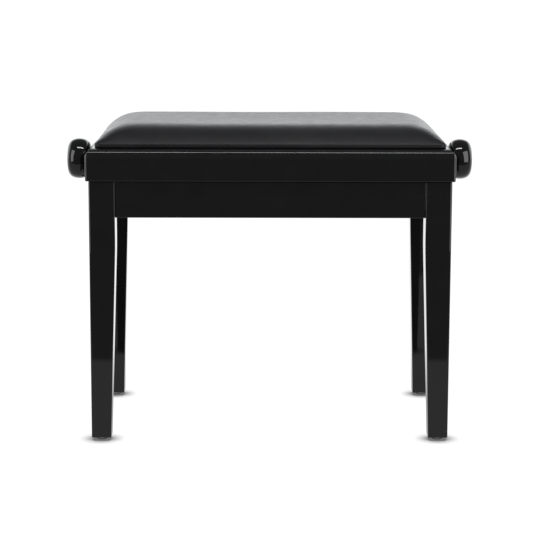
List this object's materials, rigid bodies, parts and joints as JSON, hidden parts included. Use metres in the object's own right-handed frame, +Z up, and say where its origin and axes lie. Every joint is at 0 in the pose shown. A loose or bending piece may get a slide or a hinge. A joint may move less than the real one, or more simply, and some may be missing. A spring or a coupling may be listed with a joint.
{
  "type": "piano bench",
  "caption": "Height-adjustable piano bench: black lacquered leg frame and seat frame, padded black seat, scissor lift driven by a threaded spindle with a knob at each end",
  "frame": {"origin": "on the floor plane, at the centre of the leg frame, seat at its lowest setting", "axes": "+X to the bench's right along its long side and along the spindle, +Y to the rear, +Z up"},
  "size_m": [0.639, 0.33, 0.4833],
  "materials": {
    "black_lacquer": "high-gloss black lacquer",
    "black_knob": "gloss black",
    "black_leather": "smooth, satin sheen",
    "stained_wood": "black stain on plywood and blocks",
    "bright_steel": "zinc plated",
    "arm_steel": "rolled flat bar, zinc plated",
    "black_steel": "satin black",
    "nickel": "nickel plated",
    "brass": "turned",
    "nylon": "natural nylon",
    "black_felt": "pressed felt"
  },
  "bodies": {
    "leg_frame": {"leg_front_left": "black_lacquer", "leg_front_right": "black_lacquer", "leg_rear_left": "black_lacquer", "leg_rear_right": "black_lacquer", "apron_front": "black_lacquer", "apron_rear": "black_lacquer", "apron_left": "black_lacquer", "apron_right": "black_lacquer", "corner_blocks": "stained_wood", "corner_bolts": "bright_steel", "glides": "nickel", "rest_pads": "black_felt", "base_rail_front": "black_steel", "base_rail_rear": "black_steel", "base_rail_screws": "bright_steel"},
    "arm_pair_a": {"arm_a_front": "arm_steel", "arm_a_rear": "arm_steel", "pivot_rod": "bright_steel", "pivot_spacers": "bright_steel", "pivot_clips": "black_steel", "centre_rivets": "bright_steel"},
    "arm_pair_b": {"arm_b_front": "arm_steel", "arm_b_rear": "arm_steel", "slide_rod": "bright_steel", "slide_bushes": "nylon", "slide_clips": "black_steel"},
    "seat": {"rail_front": "black_lacquer", "rail_rear": "black_lacquer", "rail_left": "black_lacquer", "rail_right": "black_lacquer", "seat_blocks": "stained_wood", "seat_block_screws": "bright_steel", "top_rail_front": "black_steel", "top_rail_rear": "black_steel", "top_rail_screws": "bright_steel", "top_pivot_pins": "bright_steel", "spindle_bushes": "brass", "seat_board": "stained_wood", "cushion": "black_leather"},
    "nut_carrier": {"nut_bar": "bright_steel", "spindle_nut": "brass", "nut_bushes": "nylon", "nut_clips": "black_steel"},
    "spindle_and_knobs": {"spindle": "bright_steel", "knob_left": "black_knob", "knob_right": "black_knob", "spindle_collars": "bright_steel", "collar_screws": "black_steel", "knob_washers": "bright_steel"}
  },
  "joints": [
    {"name": "lift", "type": "hinge", "parent": "leg_frame", "child": "arm_pair_a", "pos_m": [-0.16837, 0, 0.371], "axis": [0, -1, 0], "range_deg": [0, 17.61]},
    {"name": "cross", "type": "hinge", "parent": "arm_pair_a", "child": "arm_pair_b", "pos_m": [0, 0, 0.3945], "axis": [0, -1, 0], "range_deg": [-35.22, 0]},
    {"name": "seat_level", "type": "hinge", "parent": "arm_pair_b", "child": "seat", "pos_m": [-0.16837, 0, 0.418], "axis": [0, -1, 0], "range_deg": [0, 17.61]},
    {"name": "nut_level", "type": "hinge", "parent": "arm_pair_a", "child": "nut_carrier", "pos_m": [0.16837, 0, 0.418], "axis": [0, -1, 0], "range_deg": [-17.61, 0]},
    {"name": "spindle_turn", "type": "hinge", "parent": "seat", "child": "spindle_and_knobs", "pos_m": [0, 0, 0.418], "axis": [1, 0, 0], "range_deg": [0, 2700]}
  ],
  "couplings": [
    {"joint": "cross", "follows": "lift", "ratio": -2},
    {"joint": "seat_level", "follows": "lift", "ratio": 1},
    {"joint": "nut_level", "follows": "lift", "ratio": -1},
    {"joint": "spindle_turn", "follows": "lift", "ratio": 153.32}
  ]
}
